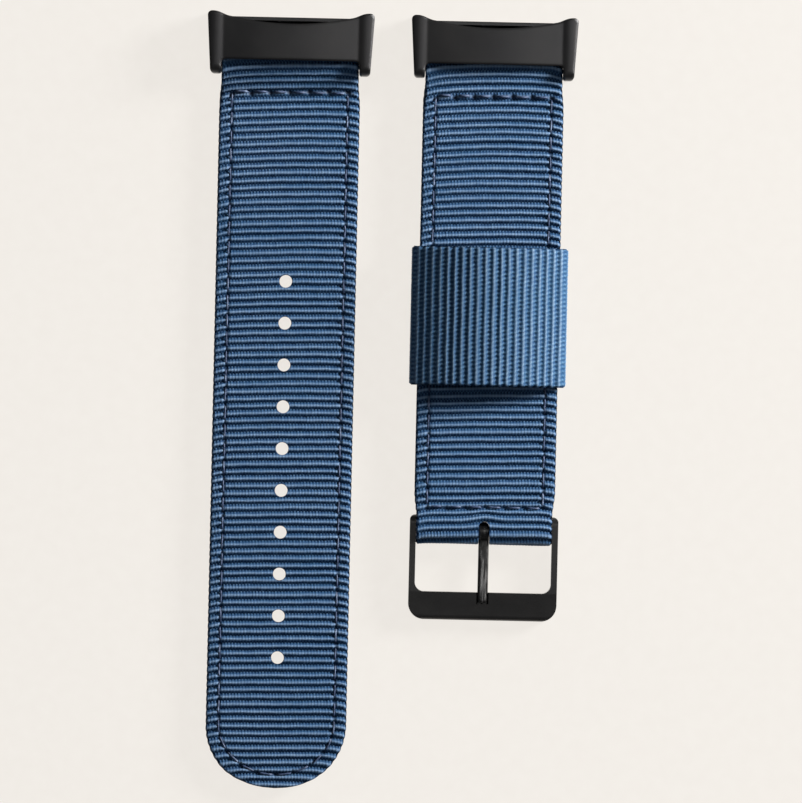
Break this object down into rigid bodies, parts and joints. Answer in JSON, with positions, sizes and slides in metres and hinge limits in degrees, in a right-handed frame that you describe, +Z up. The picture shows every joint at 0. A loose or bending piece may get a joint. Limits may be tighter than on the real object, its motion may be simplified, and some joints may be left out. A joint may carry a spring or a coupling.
{
  "type": "fitness tracker band",
  "caption": "Ribbed webbing band in a long and a short half, with a pin buckle, a wide sliding keeper, and metal adapters that clip to a fitness tracker.",
  "frame": {"origin": "middle of the footprint of the two halves lying side by side, on the surface they lie on", "axes": "+X across the band from the long half to the short half, +Y along the band towards the tracker, +Z up out of its outer face"},
  "size_m": [0.053, 0.1112, 0.0075],
  "materials": {
    "webbing": "ribbed navy blue nylon webbing with a slight sheen on its crests",
    "seam_thread": "dark navy bonded thread",
    "adapter_metal": "satin black plated steel",
    "latch_metal": "satin black plated steel",
    "buckle_metal": "black plated steel, a little glossier than the adapters",
    "bar_steel": "turned steel",
    "spring_steel": "drawn spring wire"
  },
  "bodies": {
    "long_strap": {"long_webbing": "webbing", "long_seam_thread": "seam_thread", "long_bar_tube": "bar_steel", "long_bar_spring": "spring_steel"},
    "short_strap": {"short_webbing": "webbing", "short_seam_thread": "seam_thread", "short_bar_tube": "bar_steel", "short_bar_spring": "spring_steel", "buckle_bar_tube": "bar_steel", "buckle_bar_spring": "spring_steel"},
    "buckle": {"buckle_frame": "buckle_metal"},
    "tongue": {"buckle_tongue": "buckle_metal"},
    "keeper": {"keeper_loop": "webbing", "keeper_seam_thread": "seam_thread"},
    "long_adapter": {"long_adapter_shell": "adapter_metal", "long_adapter_base": "adapter_metal", "long_latch_springs": "spring_steel"},
    "long_latch": {"long_latch_button": "latch_metal"},
    "short_adapter": {"short_adapter_shell": "adapter_metal", "short_adapter_base": "adapter_metal", "short_latch_springs": "spring_steel"},
    "short_latch": {"short_latch_button": "latch_metal"},
    "long_bar_left_tip": {"long_bar_plunger_left": "bar_steel"},
    "long_bar_right_tip": {"long_bar_plunger_right": "bar_steel"},
    "short_bar_left_tip": {"short_bar_plunger_left": "bar_steel"},
    "short_bar_right_tip": {"short_bar_plunger_right": "bar_steel"},
    "buckle_bar_left_tip": {"buckle_bar_plunger_left": "bar_steel"},
    "buckle_bar_right_tip": {"buckle_bar_plunger_right": "bar_steel"}
  },
  "joints": [
    {"name": "short_half_slide", "type": "slide", "parent": "long_strap", "child": "short_strap", "axis": [1, 0, 0], "range_m": [0, 0.04]},
    {"name": "long_adapter_hinge", "type": "hinge", "parent": "long_strap", "child": "long_adapter", "pos_m": [-0.0146, 0.04801, 0.002], "axis": [1, 0, 0], "range_deg": [-55, 55]},
    {"name": "long_latch_press", "type": "slide", "parent": "long_adapter", "child": "long_latch", "axis": [0, 0, 1], "range_m": [0, 0.0006], "stiffness_N_per_m": 300, "springref_m": -0.002, "deforming": ["long_latch_springs"]},
    {"name": "short_adapter_hinge", "type": "hinge", "parent": "short_strap", "child": "short_adapter", "pos_m": [0.0146, 0.04801, 0.002], "axis": [1, 0, 0], "range_deg": [-55, 55]},
    {"name": "short_latch_press", "type": "slide", "parent": "short_adapter", "child": "short_latch", "axis": [0, 0, 1], "range_m": [0, 0.0006], "stiffness_N_per_m": 300, "springref_m": -0.002, "deforming": ["short_latch_springs"]},
    {"name": "buckle_frame_hinge", "type": "hinge", "parent": "short_strap", "child": "buckle", "pos_m": [0.0146, -0.01809, 0.002], "axis": [-1, 0, 0], "range_deg": [-60, 30]},
    {"name": "buckle_tongue_hinge", "type": "hinge", "parent": "buckle", "child": "tongue", "pos_m": [0.0146, -0.01809, 0.002], "axis": [-1, 0, 0], "range_deg": [0, 75]},
    {"name": "keeper_slide", "type": "slide", "parent": "short_strap", "child": "keeper", "axis": [0, 1, 0], "range_m": [-0.0163, 0.0211]},
    {"name": "long_bar_left_press", "type": "slide", "parent": "long_strap", "child": "long_bar_left_tip", "axis": [1, 0, 0], "range_m": [0, 0.0009], "stiffness_N_per_m": 400, "springref_m": -0.002, "deforming": ["long_bar_spring"]},
    {"name": "long_bar_right_press", "type": "slide", "parent": "long_strap", "child": "long_bar_right_tip", "axis": [-1, 0, 0], "range_m": [0, 0.0009], "stiffness_N_per_m": 400, "springref_m": -0.002, "deforming": ["long_bar_spring"]},
    {"name": "short_bar_left_press", "type": "slide", "parent": "short_strap", "child": "short_bar_left_tip", "axis": [1, 0, 0], "range_m": [0, 0.0009], "stiffness_N_per_m": 400, "springref_m": -0.002, "deforming": ["short_bar_spring"]},
    {"name": "short_bar_right_press", "type": "slide", "parent": "short_strap", "child": "short_bar_right_tip", "axis": [-1, 0, 0], "range_m": [0, 0.0009], "stiffness_N_per_m": 400, "springref_m": -0.002, "deforming": ["short_bar_spring"]},
    {"name": "buckle_bar_left_press", "type": "slide", "parent": "short_strap", "child": "buckle_bar_left_tip", "axis": [1, 0, 0], "range_m": [0, 0.0009], "stiffness_N_per_m": 400, "springref_m": -0.002, "deforming": ["buckle_bar_spring"]},
    {"name": "buckle_bar_right_press", "type": "slide", "parent": "short_strap", "child": "buckle_bar_right_tip", "axis": [-1, 0, 0], "range_m": [0, 0.0009], "stiffness_N_per_m": 400, "springref_m": -0.002, "deforming": ["buckle_bar_spring"]}
  ]
}
